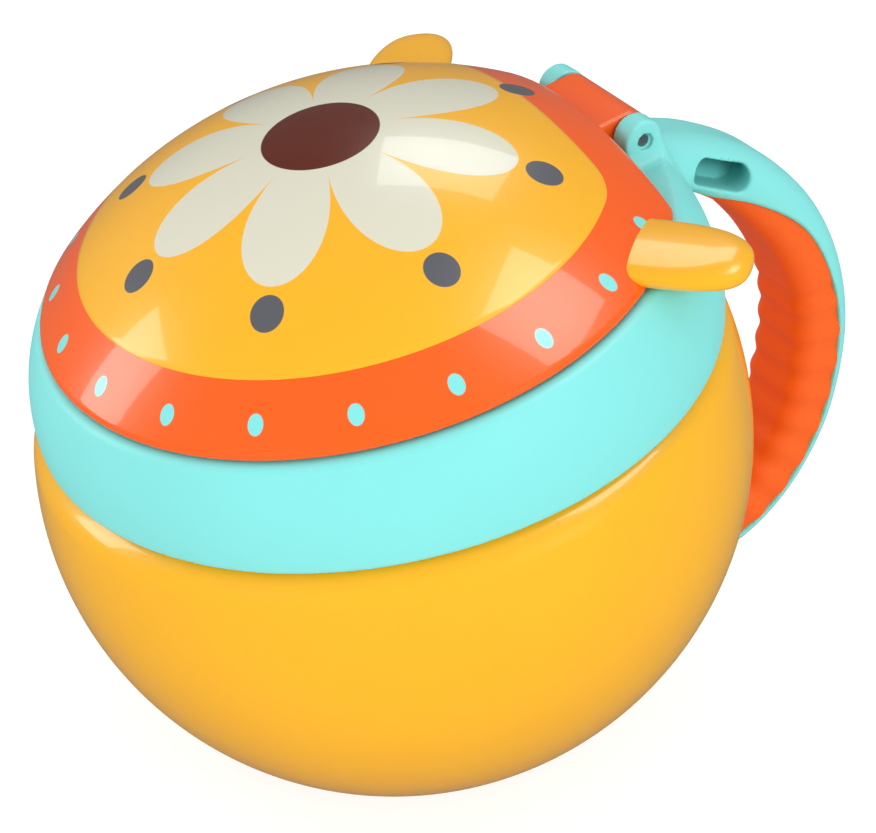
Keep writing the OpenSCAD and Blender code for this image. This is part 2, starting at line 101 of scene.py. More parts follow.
class ContainerSizes(bpy.types.PropertyGroup):
    """Sizes of the container that its frame doesn't tell by itself"""

    ball_d: length("Ball", 108, "Diameter of the ball")
    bowl_wall: length("Bowl wall", 2.4, "Wall of the bowl")
    foot_round: length("Foot rounding", 1.6, "Rounding of the edge of the foot")
    shoulder_z: length("Shoulder height", 16.2, "Height of the shoulder above the ball's middle")
    shoulder_round: length("Shoulder rounding", 6, "Rounding of the shoulder")
    neck_d: length("Neck", 86, "Outer diameter of the neck")
    neck_h: length("Neck height", 8.8, "Height of the neck above the shoulder")
    lug_reach: length("Lug reach", 2, "How far each bayonet lug stands out")
    lug_h: length("Lug height", 2.4, "Height of each bayonet lug")
    turn_gap: length("Turning gap", 0.35, "Gap between the neck and the collar")
    collar_d: length("Collar", 103, "Diameter of the collar at its widest")
    collar_belly: length("Collar belly", 13.8, "Depth of its widest line below the lid")
    deck_t: length("Deck", 2, "Thickness of the deck round the mouth")
    deck_ledge: length("Deck ledge", 0.4, "Ledge of the deck that shows round the lid")
    mouth_d: length("Mouth", 74, "Diameter of the mouth")
    lid_gap: length("Lid gap", 0.35, "Gap between the lid and the collar")
    lid_d: length("Lid", 92.8, "Diameter of the lid at its foot")
    rim_h: length("Rim height", 0.9, "Height of the upright edge of the lid")
    dome_rise: length("Dome rise", 19.8, "Rise of the dome above that edge")
    lid_wall: length("Lid wall", 2, "Wall of the lid")
    lid_back: length("Lid back", 38.2, "Distance of the flat at the back of the lid")
    crown_d: length("Crown", 77.6, "Diameter of the crown panel")
    crown_back: length("Crown back", 30.4, "Distance of its straight back edge")
    crown_corner: length("Crown corner", 10, "Rounding of its corners")
    crown_t: length("Crown thickness", 0.9, "Thickness of the crown panel")
    knuckle_r: length("Knuckle", 3.3, "Radius of the knuckles of the hinge")
    hinge_w: length("Hinge width", 24.4, "Width of the hinge over both knuckles")
    knuckle_w: length("Knuckle width", 3.6, "Thickness of each knuckle")
    hinge_gap: length("Hinge gap", 0.3, "Gap beside the knuckles")
    bracket_taper: length("Bracket taper", 1.3, "Length over which the bracket narrows")
    handle_w: length("Handle width", 16, "Width of the handle")
    handle_reach: length("Handle reach", 28.1, "Most distance of its back from the ball")
    bow_r: length("Handle bow", 44.5, "Radius of the back of the handle, seen from the side")
    bow_drop: length("Bow drop", 2.4, "Depth of the middle of that curve below the ball's middle")
    back_round: length("Handle rounding", 5.8, "Rounding of the edges of the handle's back")
    handle_t: length("Handle thickness", 11, "Thickness of the handle where it is gripped")
    spine_t: length("Handle back", 3.6, "Thickness of its hard back")
    top_t: length("Handle top", 8.8, "Depth of its hard top, by the collar")
    tip_gap: length("Tip gap", 2.6, "Clearance of the tip of the handle from the ball")
    tip_r: length("Tip", 3.1, "Rounding of the tip of the handle")
    grip_inset: length("Grip inset", 0.7, "How much narrower the grip is, on each side")
    grip_round: length("Grip rounding", 3.6, "Rounding of the inner edges of the grip")
    rib_h: length("Ribs", 0.7, "Height of the finger ribs")
    rib_pitch: length("Rib spacing", 6.5, "Spacing of the finger ribs along the back")
    pocket_len: length("Pocket length", 11, "Length of the pocket in each side of the handle")
    pocket_h: length("Pocket height", 4.2, "Height of that pocket")
    pocket_deep: length("Pocket depth", 6, "Depth of that pocket")
    ear_len: length("Ear length", 30, "Length of each ear")
    ear_w: length("Ear width", 15, "Width of each ear")
    ear_t: length("Ear thickness", 4.8, "Thickness of each ear")
    flap_drop: length("Flap depth", FLAP_DROP, "Depth of the flaps below the foot of the lid")
    flap_t: length("Flap thickness", 1.2, "Thickness of each flap")
    slit_w: length("Slit", 0.8, "Width of the slits between the flaps")


class ContainerColours(bpy.types.PropertyGroup):
    """Colours of the container's plastics and of its print"""

    yellow: colour("Yellow", srgb(255, 184, 28), "Bowl, crown and ears")
    aqua: colour("Aqua", srgb(132, 229, 225), "Collar and handle")
    orange: colour("Orange", srgb(255, 96, 8), "Lid and flaps")
    grip: colour("Grip", srgb(255, 100, 14), "Soft grip of the handle")
    cream: colour("Cream", srgb(223, 221, 200), "Petals of the print")
    brown: colour("Brown", srgb(98, 30, 2), "Middle of the print")
    grey: colour("Grey", srgb(92, 94, 100), "Dots of the print")
    liner: colour("Liner", srgb(236, 234, 226), "Liner inside the lid")
    # Painted shade for the inside of the handle's pockets, not a colour of the plastic
    pocket: colour("Pocket", srgb(6, 118, 116), "Shade inside the pockets of the handle")
    steel: colour("Steel", srgb(168, 170, 172), "Hinge pin")


def settings(context):
    """The sizes as plain numbers in millimetres, and the colours."""
    sizes = context.scene.container_sizes
    values = {name: getattr(sizes, name) / MM for name in ContainerSizes.__annotations__}
    return type("Sizes", (), values), context.scene.container_colours


# Places: the frames in which the pieces are shaped


class Place:
    """A frame of the object in millimetres: x across, y toward the hinge, z along its axis."""

    def __init__(self, origin, up):
        up = Vector(up).normalized()
        across = Vector((1, 0, 0))
        self.origin = np.array(origin, float) / MM
        self.axes = np.array([across, up.cross(across), up])

    def out(self, points):
        """From this frame to the row's frame, both in millimetres."""
        return np.asarray(points) @ self.axes + self.origin

    def into(self, points):
        """From the row's frame to this one, both in millimetres."""
        return (np.asarray(points) - self.origin) @ self.axes.T


BALL_MIDDLE = Vector(JOINTS["collar_turn"]["pos_m"])
ROW = Place((0, 0, 0), (0, 0, 1))
NECK = Place(BALL_MIDDLE, JOINTS["collar_turn"]["axis"])


def lid_place():
    """The lid's frame: its middle at the foot of the lid, found from the flaps' joints."""
    bends = [JOINTS[f"flap_{i + 1}_bend"] for i in range(FLAP_COUNT)]
    up = Vector(bends[0]["axis"]).cross(Vector(bends[1]["axis"])).normalized()
    middle = sum((Vector(bend["pos_m"]) for bend in bends), Vector()) / FLAP_COUNT
    return Place(middle + up * FLAP_DROP * MM, up)


LID = lid_place()
LID_TILT = math.degrees(math.atan2(LID.axes[1][2], LID.axes[1][1]))
PIN_Y, PIN_Z = LID.into(np.array(JOINTS["lid_hinge"]["pos_m"]) / MM)[1:]


# Forms: solids told by their signed distance, below zero inside


def soft_max(a, b, rounding):
    """The larger of two distances, blended where they are nearly equal."""
    h = np.maximum(rounding - np.abs(a - b), 0) / rounding
    return np.maximum(a, b) + h * h * rounding / 4


def rounded_corner(a, b, rounding):
    """The distance from where two sides meet at a right angle, with a round edge."""
    a, b = a + rounding, b + rounding
    return np.minimum(np.maximum(a, b), 0) + np.hypot(np.maximum(a, 0), np.maximum(b, 0)) - rounding


class Form:
    """A solid, or a flat shape, told by a function from points to signed distances."""

    def __init__(self, distance):
        self.distance = distance

    def __call__(self, points):
        return self.distance(points)

    def __or__(self, other):
        return Form(lambda p: np.minimum(self(p), other(p)))

    def __and__(self, other):
        return Form(lambda p: np.maximum(self(p), other(p)))

    def __sub__(self, other):
        return Form(lambda p: np.maximum(self(p), -other(p)))

    def grown(self, by):
        return Form(lambda p: self(p) - by)

    def joined(self, other, rounding):
        """The union with a fillet."""
        return Form(lambda p: -soft_max(-self(p), -other(p), rounding))

    def met(self, other, rounding):
        """The intersection with a rounded edge."""
        return Form(lambda p: soft_max(self(p), other(p), rounding))

    def cut(self, other, rounding):
        """What other leaves, with a rounded edge."""
        return Form(lambda p: soft_max(self(p), -other(p), rounding))


def ball(place, middle, radius):
    return Form(lambda p: np.linalg.norm(place.into(p) - np.array(middle), axis=-1) - radius)


def tube(place, radius):
    """An endless cylinder about the place's axis."""
    return Form(lambda p: np.hypot(*np.moveaxis(place.into(p)[..., :2], -1, 0)) - radius)


def side_of(place, axis, at, sign=1):
    """All that lies below a level of one axis, or above it with sign -1."""
    return Form(lambda p: sign * (place.into(p)[..., axis] - at))


def between(place, axis, low, high):
    return side_of(place, axis, high) & side_of(place, axis, low, -1)


def disc(middle, radius):
    """A flat disc, for a shape drawn across the object."""
    return Form(lambda q: np.hypot(q[..., 0] - middle[0], q[..., 1] - middle[1]) - radius)


def polygon(points):
    """A flat shape from its corners."""
    starts = np.asarray(points, float)
    ends = np.roll(starts, -1, 0)

    def distance(q):
        best = np.full(q.shape[:-1], np.inf)
        inside = np.zeros(q.shape[:-1], bool)
        for a, b in zip(starts, ends):
            way = b - a
            part = np.clip(((q - a) @ way) / (way @ way), 0, 1)
            gap = q - a - part[..., None] * way
            best = np.minimum(best, gap[..., 0] ** 2 + gap[..., 1] ** 2)
            spans = (a[1] > q[..., 1]) != (b[1] > q[..., 1])
            if b[1] != a[1]:
                inside ^= spans & (q[..., 0] < way[0] * (q[..., 1] - a[1]) / way[1] + a[0])
        return np.sqrt(best) * np.where(inside, -1, 1)

    return Form(distance)


def sampled(table, low, step):
    """A flat form looked up in a grid of distances, which is much faster than its outline."""
    last = np.array(table.shape) - 2

    def distance(q):
        place = np.clip((q - low) / step, 0, last + 0.999)
        cell = place.astype(int)
        part = place - cell
        i, j, u, v = cell[..., 0], cell[..., 1], part[..., 0], part[..., 1]
        here = table[i, j] * (1 - u) + table[i + 1, j] * u
        onward = table[i, j + 1] * (1 - u) + table[i + 1, j + 1] * u
        return here * (1 - v) + onward * v

    return Form(distance)


def pairs(loop):
    """The edges of a closed loop, as pairs of points."""
    return list(zip(loop, np.roll(loop, -1, 0)))


def flat_form(line, around, edges, step, reach):
    """A flat form from edges near a line, below zero inside what goes around."""
    low = line.min(0) - reach
    lines = [np.arange(low[k], line[:, k].max() + reach + step, step) for k in range(2)]
    return sampled(signed_table(lines, around, edges, reach), low, step)


def drawn(loop, step=0.12, reach=4.0):
    """A flat form from a closed loop, true up to a reach."""
    return flat_form(loop, pairs(loop), pairs(loop), step, reach)


def line_side(line, beyond, step=0.12, reach=9.0):
    """A flat form with an open line as its border, closed far off by the points beyond."""
    around = pairs(np.concatenate([line, np.array(beyond, float)]))
    return flat_form(line, around, list(zip(line, line[1:])), step, reach)


def signed_table(lines, around, edges, reach):
    """Distances from edges at the crossings of a grid, below zero inside what goes around."""
    inside = np.zeros([len(line) for line in lines], bool)
    for a, b in around:
        spans = (a[1] > lines[1]) != (b[1] > lines[1])
        if spans.any():
            crossing = a[0] + (b[0] - a[0]) * (lines[1][spans] - a[1]) / (b[1] - a[1])
            inside[:, spans] ^= lines[0][:, None] < crossing
    gap = np.full(inside.shape, reach**2)
    for a, b in edges:
        low, high = np.minimum(a, b) - reach, np.maximum(a, b) + reach
        window = tuple(slice(*np.searchsorted(lines[k], (low[k], high[k]))) for k in range(2))
        near = [lines[k][window[k]] for k in range(2)]
        away = np.stack(np.meshgrid(*near, indexing="ij"), -1) - a
        way = b - a
        part = np.clip((away @ way) / max(way @ way, 1e-12), 0, 1)
        off = away - part[..., None] * way
        gap[window] = np.minimum(gap[window], off[..., 0] ** 2 + off[..., 1] ** 2)
    return np.sqrt(gap) * np.where(inside, -1, 1)


def across(place, flat, half_width, rounding=0.0):
    """A flat shape in y and z made as wide as twice half_width, with rounded edges."""

    def distance(p):
        # The points of a grid repeat in y and z along its first axis
        rows = place.into(p[:1] if p.ndim == 4 else p)[..., 1:]
        return rounded_corner(flat(rows), np.abs(p[..., 0]) - half_width, rounding)

    return Form(distance)


def upright(place, flat, half_height, middle, rounding):
    """A flat shape in x and y of the place made as high as twice half_height."""

    def distance(p):
        q = place.into(p)
        return rounded_corner(flat(q[..., :2]), np.abs(q[..., 2] - middle) - half_height, rounding)

    return Form(distance)


# Meshes


def gradient(form, points, reach):
    """The direction in which a form's distance grows, at each point."""
    steps = np.eye(3) * reach
    slope = np.stack([form(points + s) - form(points - s) for s in steps], -1)
    return slope / np.maximum(np.linalg.norm(slope, axis=-1, keepdims=True), 1e-9)


def cell_points(value, lines):
    """For each cell that the surface crosses, the mean of its crossings; elsewhere nothing."""
    cells = tuple(n - 1 for n in value.shape)
    total, count = np.zeros(cells + (3,)), np.zeros(cells)
    for axis in range(3):
        low = np.take(value, range(value.shape[axis] - 1), axis)
        high = np.take(value, range(1, value.shape[axis]), axis)
        crossed = (low < 0) != (high < 0)
        share = np.where(crossed, low / np.where(crossed, low - high, 1), 0)
        others = [k for k in range(3) if k != axis]
        for shift in ((0, 0), (0, 1), (1, 0), (1, 1)):
            window = [slice(None)] * 3
            for k, s in zip(others, shift):
                window[k] = slice(s, s + cells[k])
            window = tuple(window)
            hit = crossed[window]
            spots = np.nonzero(hit)
            point = np.empty((len(spots[0]), 3))
            for k, s in zip(others, shift):
                point[:, k] = lines[k][spots[k] + s]
            step = lines[axis][1] - lines[axis][0]
            point[:, axis] = lines[axis][spots[axis]] + share[window][spots] * step
            np.add.at(total, spots, point)
            np.add.at(count, spots, 1)
    return total, count


def skin(form, place, low, high, step, polish=3):
    """The surface of a form as points, quads and outward directions, in millimetres of the row."""
    lines = [np.arange(low[k], high[k] + step, step) for k in range(3)]
    value = form(place.out(np.stack(np.meshgrid(*lines, indexing="ij"), -1)))
    total, count = cell_points(value, lines)
    used = count > 0
    number = np.full(count.shape, -1)
    number[used] = np.arange(used.sum())
    points = place.out(total[used] / count[used][:, None])
    quads = []
    for axis in range(3):
        u, v = (axis + 1) % 3, (axis + 2) % 3
        inside = np.moveaxis(value < 0, (axis, u, v), (0, 1, 2))
        numbers = np.moveaxis(number, (axis, u, v), (0, 1, 2))
        low_in, high_in = inside[:-1, 1:-1, 1:-1], inside[1:, 1:-1, 1:-1]
        for found, order in ((low_in & ~high_in, 1), (~low_in & high_in, -1)):
            i, j, k = np.nonzero(found)
            ring = [numbers[i, j + m, k + n] for m, n in ((0, 0), (1, 0), (1, 1), (0, 1))]
            quads.append(np.stack(ring[::order], -1))
    for _ in range(polish):
        off = np.clip(form(points), -step / 2, step / 2)
        points = points - off[:, None] * gradient(form, points, step * 0.3)
    return points, np.concatenate(quads), gradient(form, points, step * 0.3)


def add_object(name, data):
    piece = bpy.data.objects.new(name, data)
    bpy.context.scene.collection.objects.link(piece)
    return piece


def add_skin(name, form, place, low, high, step, keep_normals=True):
    """A new object whose surface is that of a form."""
    points, quads, out = skin(form, place, low, high, step)
    mesh = bpy.data.meshes.new(name)
    mesh.from_pydata((points * MM).tolist(), [], quads.tolist())
    mesh.polygons.foreach_set("use_smooth", [True] * len(mesh.polygons))
    if keep_normals:
        mesh.normals_split_custom_set_from_vertices(out.tolist())
    mesh.update()
    return add_object(name, mesh)


def from_bmesh(name, bm):
    mesh = bpy.data.meshes.new(name)
    for face in bm.faces:
        face.smooth = True
    bm.to_mesh(mesh)
    bm.free()
    return add_object(name, mesh)


def arc(middle, radius, start, end, count):
    """Points along an arc, from one angle to another in degrees."""
    turns = np.radians(np.linspace(start, end, count))
    return [(middle[0] + radius * math.cos(t), middle[1] + radius * math.sin(t)) for t in turns]


def bridge(bm, rings, count):
    """Faces between neighbouring rings of points, where a ring of one point closes to a tip."""
    faces = []
    for a, b in zip(rings, rings[1:]):
        for i in range(count):
            j = (i + 1) % count
            corners = [a[i % len(a)], a[j % len(a)], b[j % len(b)], b[i % len(b)]]
            faces.append(bm.faces.new(dict.fromkeys(corners)))
    return faces


def spin(bm, place, profile, steps):
    """A turned surface from points (distance from the axis, height) in a place."""
    rings = []
    for radius, height in profile:
        turns = [0] if radius < 1e-6 else [2 * math.pi * i / steps for i in range(steps)]
        spots = [(radius * math.cos(t), radius * math.sin(t), height) for t in turns]
        rings.append([bm.verts.new(place.out(spot) * MM) for spot in spots])
    return bridge(bm, rings, steps)


def cut_level(bm, faces, height, rounding):
    """Cuts turned faces level, keeps what is above, and closes the cut with a rounded edge."""
    geometry = dict.fromkeys(e for f in faces for e in (f, *f.edges, *f.verts))
    made = bmesh.ops.bisect_plane(
        bm, geom=list(geometry), plane_co=(0, 0, height * MM), plane_no=(0, 0, -1), clear_outer=True
    )
    edges = [e for e in made["geom_cut"] if isinstance(e, bmesh.types.BMEdge)]
    bmesh.ops.contextual_create(bm, geom=edges)
    bmesh.ops.bevel(
        bm, geom=edges, offset=rounding * MM, segments=5, profile=0.5, affect="EDGES",
        clamp_overlap=True,
    )


def add_modifier(piece, kind, **settings):
    modifier = piece.modifiers.new(kind.title(), kind)
    for name, value in settings.items():
        setattr(modifier, name, value)
    return modifier


# Finishes


class Shade:
    """A number in a shader, with Python's operators for its sums."""

    def __init__(self, finish, socket):
        self.finish, self.socket = finish, socket

    def math(self, operation, *others, swap=False):
        values = (*others, self) if swap else (self, *others)
        node = self.finish.node("ShaderNodeMath", {"operation": operation}, dict(enumerate(values)))
        return Shade(self.finish, node.outputs[0])

    def __add__(self, other):
        return self.math("ADD", other)

    __radd__ = __add__

    def __mul__(self, other):
        return self.math("MULTIPLY", other)

    __rmul__ = __mul__

    def __sub__(self, other):
        return self.math("SUBTRACT", other)

    def __rsub__(self, other):
        return self.math("SUBTRACT", other, swap=True)

    def __truediv__(self, other):
        return self.math("DIVIDE", other)

    def clamped(self):
        node = self.finish.node("ShaderNodeClamp", {}, {"Value": self})
        return Shade(self.finish, node.outputs[0])


class Nodes:
    """A node tree, with one way to add any node to it."""

    def __init__(self, tree):
        self.tree = tree

    def node(self, kind, settings, inputs):
        """Adds a node with its settings, and with values or links for its sockets."""
        node = self.tree.nodes.new(kind)
        for name, value in settings.items():
            setattr(node, name, value)
        for key, value in inputs.items():
            self.feed(node.inputs[key], value)
        return node

    def feed(self, socket, value):
        if isinstance(value, Shade):
            value = value.socket
        if isinstance(value, bpy.types.NodeSocket):
            self.tree.links.new(value, socket)
        elif socket.type == "RGBA":
            socket.default_value = (*value, 1)
        else:
            socket.default_value = value

    def by_ray(self, mix, sockets, chosen, choices):
        """A value or a shader, and what takes its place for each kind of ray that is named."""
        ray = self.node("ShaderNodeLightPath", {}, {}).outputs
        for name, value in choices.items():
            chosen = self.node(mix, {}, dict(zip(sockets, (ray[name], chosen, value)))).outputs[0]
        return chosen


class Finish(Nodes):
    """A material, with short ways to add nodes to it."""

    def __init__(self, name, **uniform):
        self.material = bpy.data.materials.new(name)
        self.material.use_nodes = True
        super().__init__(self.material.node_tree)
        self.shader = self.tree.nodes["Principled BSDF"]
        for socket, value in uniform.items():
            self.shader.inputs[socket.replace("_", " ")].default_value = value

    def place_vector(self):
        return self.node("ShaderNodeTexCoord", {}, {}).outputs["Object"]

    def noise(self, per_mm, detail=2.0):
        """Soft noise from 0 to 1, with so many grains to a millimetre."""
        inputs = {"Vector": self.place_vector(), "Scale": per_mm / MM, "Detail": detail}
        return Shade(self, self.node("ShaderNodeTexNoise", {}, inputs).outputs["Fac"])

    def mix(self, factor, first, second):
        node = self.node("ShaderNodeMix", {"data_type": "RGBA"}, {0: factor, 6: first, 7: second})
        return node.outputs[2]

    def along(self, direction, origin):
        """The distance of a surface point from an origin along a direction, in millimetres."""
        place = self.place_vector()
        away = self.vector("SUBTRACT", place, origin).outputs[0]
        return Shade(self, self.vector("DOT_PRODUCT", away, direction).outputs["Value"]) * (1 / MM)

    def vector(self, operation, first, second):
        inputs = {0: first, 1: tuple(second)}
        return self.node("ShaderNodeVectorMath", {"operation": operation}, inputs)

    def colour(self, value):
        self.feed(self.shader.inputs["Base Color"], value)

    def roughness(self, value):
        self.feed(self.shader.inputs["Roughness"], value)

    def bump(self, height, distance, strength):
        """A bump of a height from 0 to 1, as deep as distance in millimetres."""
        inputs = {"Height": height, "Distance": distance * MM, "Strength": strength}
        self.feed(self.shader.inputs["Normal"], self.node("ShaderNodeBump", {}, inputs).outputs[0])

    def mottled(self, tone, spread, per_mm):
        """A colour that varies a little over the surface, as moulded plastic does."""
        darker = tuple(c * (1 - spread) for c in tone)
        lighter = tuple(min(1, c * (1 + spread)) for c in tone)
        return self.mix(self.noise(per_mm), darker, lighter)


# How far the tone of a plastic varies, and the number of patches to a millimetre
GLOSS_PATCHES = (0.03, 0.05)
SATIN_PATCHES = (0.02, 0.06)


def gloss_finish(name, tone):
    """Bright moulded plastic under a clear gloss."""
    finish = Finish(name, Coat_Weight=0.5, Coat_Roughness=0.05, Coat_IOR=1.45, IOR=1.42)
    finish.colour(finish.mottled(tone, *GLOSS_PATCHES))
    finish.roughness(finish.noise(0.4) * 0.1 + 0.26)
    return finish


def satin_finish(name, tone):
    """Moulded plastic from a finely blasted mould."""
    finish = Finish(name, IOR=1.46)
    finish.colour(finish.mottled(tone, *SATIN_PATCHES))
    finish.roughness(finish.noise(0.8) * 0.08 + 0.4)
    finish.bump(finish.noise(4.0, 3.0), 0.01, 0.25)
    return finish


# The depth in millimetres over which the painted shade in the pocket deepens, and how far down its
# side
SHADE_DEPTH = 3.0
SHADE_RISE = 0.62


def handle_finish(name, tone, shade, s):
    """The satin plastic, with painted shade that deepens toward the inner end of the handle's
    pockets.
    """
    finish = satin_finish(name, tone)
    turn = direction(POCKET_SLANT - LID_TILT)
    spot = LID.out((0, *POCKET_SPOT)) * MM
    along = finish.along(turn[0] * LID.axes[1] + turn[1] * LID.axes[2], spot).math("ABSOLUTE")
    rise = finish.along(turn[0] * LID.axes[2] - turn[1] * LID.axes[1], spot)
    past = (along - (s.pocket_len - s.pocket_h) / 2).math("MAXIMUM", 0.0)
    inside = below((past * past + rise * rise).math("SQRT"), s.pocket_h / 2 + 0.15, 0.3)
    depth = s.handle_w / 2 - finish.along((1, 0, 0), spot).math("ABSOLUTE")
    deep = (depth / SHADE_DEPTH - 0.1).clamped()
    # Painted shade: the pocket colour is mixed in inside each pocket, deeper toward its inner end
    painted_shade = inside * deep * (rise / s.pocket_h + SHADE_RISE).clamped()
    finish.colour(finish.mix(painted_shade, finish.mottled(tone, *SATIN_PATCHES), shade))
    return finish


def soft_finish(name, tone):
    """Soft rubber that is moulded over the handle."""
    finish = Finish(name, IOR=1.42)
    finish.colour(finish.mottled(tone, 0.05, 0.08))
    finish.roughness(finish.noise(1.2) * 0.12 + 0.5)
    finish.bump(finish.noise(6.0, 2.0), 0.015, 0.3)
    return finish


def steel_finish(name, tone):
    """Drawn steel wire with faint marks all over it."""
    finish = Finish(name, Metallic=1.0)
    finish.colour(finish.mottled(tone, 0.12, 1.5))
    finish.roughness(finish.noise(3.0) * 0.2 + 0.3)
    finish.bump(finish.noise(8.0, 2.0), 0.01, 0.4)
    return finish


def below(value, limit, soft=0.12):
    """1 where a value is under a limit and 0 over it, with a thin soft edge."""
    return ((limit - value) / soft + 0.5).clamped()


# The print, in millimetres: a flower of petals round its middle, dots round it, and edge dots
# on the band, which stop short of the hinge
PETALS = 8
PETAL_IN = 9.0
PETAL_OUT = 27.5
FLOWER_MIDDLE = 8.5
DOT_RING = 31.0
DOT_R = 2.4
EDGE_DOTS = 20
EDGE_RING = 43.3
EDGE_DOT_R = 1.1
PRINT_BACK = 34.0


def printed_finish(name, colours, ground):
    """Gloss plastic with a flower printed on the crown and a ring of dots on the band."""
    finish = gloss_finish(name, ground)
    x, y = (finish.along(LID.axes[k], LID.origin * MM) for k in (0, 1))
    reach = (x * x + y * y).math("SQRT")
    turn = y.math("ARCTAN2", x)
    shown = finish.mottled(ground, *GLOSS_PATCHES)
    petals = (turn * (PETALS / 2)).math("COSINE").math("ABSOLUTE").math("SQRT")
    petal_edge = petals * (PETAL_OUT - PETAL_IN) + PETAL_IN
    dot = ring_of_dots(reach, turn, PETALS, DOT_RING, 0.5)
    edge_dot = ring_of_dots(reach, turn, EDGE_DOTS, EDGE_RING, 0.0) + below(PRINT_BACK, y) * 10
    for mask, ink in (
        (below(reach, petal_edge), colours.cream),
        (below(reach, FLOWER_MIDDLE), colours.brown),
        (below(dot, DOT_R), colours.grey),
        (below(edge_dot, EDGE_DOT_R), colours.aqua),
    ):
        shown = finish.mix(mask, shown, ink)
    finish.colour(shown)
    return finish


def ring_of_dots(reach, turn, count, ring, offset):
    """The distance from the nearest of a ring of evenly spaced spots."""
    sector = 2 * math.pi / count
    place = (turn / sector + offset).math("FRACT") - 0.5
    angle = place * sector
    side = angle.math("SINE") * reach
    out = angle.math("COSINE") * reach - ring
    return (side * side + out * out).math("SQRT")


def dress(piece, finish, body, slot, *nodes):
    """Gives a piece its finish and its body, and hides the nodes that it stands for; slot is not
    used.
    """
    piece.data.materials.clear()
    piece.data.materials.append(finish.material)
    if body:
        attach(piece, body)
    if nodes:
        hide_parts(*nodes)
    return piece


# Pieces


CAD_RADIUS = (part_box("bowl")[1].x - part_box("bowl")[0].x) / MM / 2
LIP = 0.6


def half_profile_of_bowl(s, inset):
    """Half section of the bowl, or of its inside, from its lowest point to the neck."""
    radius, rounding = CAD_RADIUS - inset, s.shoulder_round - inset
    level = s.shoulder_z - inset - rounding
    middle = math.sqrt((radius - rounding) ** 2 - level ** 2)
    tangent = math.degrees(math.atan2(level, middle))
    neck = s.neck_d / 2 - inset
    return (
        [(0, -radius)]
        + arc((0, 0), radius, -89, tangent, 60)[:-1]
        + arc((middle, level), rounding, tangent, 90, 12)
        + [(neck + 0.6, s.shoulder_z - inset)]
        + arc((neck + 0.5, s.shoulder_z - inset + 0.5), 0.5, 270, 180, 4)[1:]
    )


def make_bowl(s, steps=220, inner_round=3):
    """The bowl, turned about the neck's axis outside and inside, and cut level at the foot."""
    bm = bmesh.new()
    lip = s.shoulder_z + s.neck_h - LIP
    neck, bore = s.neck_d / 2, s.neck_d / 2 - s.bowl_wall
    rim = arc((neck - LIP, lip), LIP, 0, 90, 5) + arc((bore + LIP, lip), LIP, 90, 180, 5)
    faces = spin(bm, NECK, half_profile_of_bowl(s, 0) + rim, steps)
    cut_level(bm, faces, 0, s.foot_round)
    faces = spin(bm, NECK, half_profile_of_bowl(s, s.bowl_wall) + [(bore, lip)], steps)
    cut_level(bm, faces, s.bowl_wall, inner_round)
    add_lugs(bm, s, s.shoulder_z + s.neck_h)
    bmesh.ops.remove_doubles(bm, verts=bm.verts, dist=1e-6)
    bmesh.ops.recalc_face_normals(bm, faces=bm.faces)
    piece = from_bmesh("bowl_body", bm)
    add_modifier(piece, "WEIGHTED_NORMAL", keep_sharp=True)
    return piece


def add_lugs(bm, s, top, count=4, width=32, steps=16):
    """Bayonet lugs round the neck, each a short turned block with its ends closed."""
    slope = 0.3
    low, high = top - slope - s.lug_h, top - slope
    root, tip = s.neck_d / 2 - 0.4, s.neck_d / 2 + s.lug_reach
    section = [(root, low), (tip, low + slope), (tip, high - slope), (root, high)]
    for lug in range(count):
        middle = 45 + lug * 360 / count
        rows = []
        for turn in np.linspace(middle - width / 2, middle + width / 2, steps):
            x, y = direction(turn)
            rows.append([bm.verts.new(NECK.out((r * x, r * y, z)) * MM) for r, z in section])
        bridge(bm, rows, len(section))
        bm.faces.new(rows[0])
        bm.faces.new(rows[-1][::-1])


# The holes for the pin, the recess round its ends, how much smaller the lid's barrel is than the
# knuckles, how far the bracket's back is below the pin, and how far from the middle it starts
PIN_HOLE = 0.92
BARREL_HOLE = 0.95
RECESS_R, RECESS_DEEP = 1.3, 0.7
BARREL_FIT = 0.1
BRACKET_DROP = 4.9
BRACKET_START = 28


def collar_side(s):
    """The outside of the collar: one arc from the deck through its widest line to its foot."""
    radius = s.collar_d / 2
    inset = radius - s.lid_d / 2 - s.deck_ledge
    belly = (s.collar_belly ** 2 + inset ** 2) / (2 * inset)

    def distance(p):
        q = LID.into(p)
        out = np.hypot(q[..., 0], q[..., 1])
        return np.hypot(out - radius + belly, q[..., 2] + s.collar_belly) - belly

    return Form(distance)


def hinge_room(s):
    """The space that the lid's barrel and plate need between the knuckles."""
    low, high = -s.lid_gap, 20
    start, end = s.lid_back - 1, PIN_Y + s.knuckle_r + s.bracket_taper - 0.5
    slot = polygon([(start, low), (end, low), (end, high), (start, high)])
    room = disc((PIN_Y, PIN_Z), s.knuckle_r - BARREL_FIT + 1.2 * s.hinge_gap)
    return across(LID, room | slot, s.hinge_w / 2 - s.knuckle_w)


def make_collar(s, ring_w=4.3, ring_h=1.9):
    """The collar as a ring: arched outside, deck round the mouth, bore over the neck."""
    seat = s.shoulder_z + s.turn_gap
    bore = s.neck_d / 2 + s.lug_reach + s.turn_gap
    under = s.lid_gap + s.deck_t
    ring_r = s.mouth_d / 2 + ring_w
    ring = tube(LID, ring_r + 0.05) & between(LID, 2, -under - ring_h, -under)
    well = tube(LID, ring_r - 0.6) & side_of(LID, 2, -under - ring_h + 0.1)
    neck_room = tube(NECK, bore) & side_of(NECK, 2, s.shoulder_z + s.neck_h + s.turn_gap)
    body = (
        collar_side(s)
        .met(side_of(LID, 2, -s.lid_gap), 0.8)
        .met(side_of(NECK, 2, seat, -1), 0.6)
        .cut(tube(LID, s.mouth_d / 2), 0.6)
    )
    body = body - neck_room - ring - well - hinge_room(s)
    reach = s.collar_d / 2 + 0.7
    return add_skin("collar_band", body, LID, (-reach, -reach, -25), (reach, reach, 0.3), 0.6)


